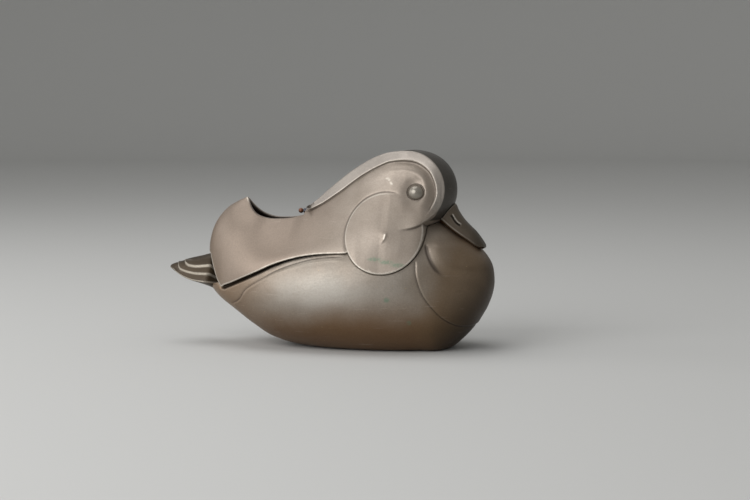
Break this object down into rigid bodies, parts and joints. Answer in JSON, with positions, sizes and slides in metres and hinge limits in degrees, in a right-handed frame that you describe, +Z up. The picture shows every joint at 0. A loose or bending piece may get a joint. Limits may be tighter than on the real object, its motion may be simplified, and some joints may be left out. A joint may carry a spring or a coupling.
{
  "type": "incense burner",
  "caption": "Cast bronze incense burner in the form of a resting duck: a bowl with breast and tail, a lift-off lid with head and open back, and a copper liner.",
  "frame": {"origin": "on the resting plane, below the middle of the overall length, in the duck's plane of symmetry", "axes": "+X towards the bill, +Y to the duck's left, +Z up"},
  "size_m": [0.208, 0.0926, 0.1217],
  "materials": {
    "bowl_bronze": "satin, warm brown patina",
    "lid_bronze": "satin, rubbed greyish brown patina",
    "bill_bronze": "satin, dark brown patina",
    "eye_bronze": "polished",
    "bead_copper": "satin, reddish",
    "collar_iron": "satin, blue-black",
    "liner_copper": "dull copper"
  },
  "bodies": {
    "bowl": {"body_vessel": "bowl_bronze", "base_plate": "bowl_bronze", "tail_fan": "bowl_bronze", "tail_pin": "bowl_bronze"},
    "liner": {"ash_liner": "liner_copper"},
    "lid": {"lid_shell": "lid_bronze", "bill": "bill_bronze", "bill_pin": "bill_bronze", "eye_right": "eye_bronze", "eye_left": "eye_bronze", "eye_ring_right": "lid_bronze", "eye_ring_left": "lid_bronze", "crest_collar": "collar_iron", "crest_bead": "bead_copper"}
  },
  "joints": [
    {"name": "lid_lift", "type": "slide", "parent": "bowl", "child": "lid", "axis": [0, 0, 1], "range_m": [0, 0.12]},
    {"name": "liner_lift", "type": "slide", "parent": "bowl", "child": "liner", "axis": [0, 0, 1], "range_m": [0, 0.055]}
  ],
  "couplings": [
    {"joint": "liner_lift", "follows": "lid_lift", "ratio": 0.45}
  ]
}
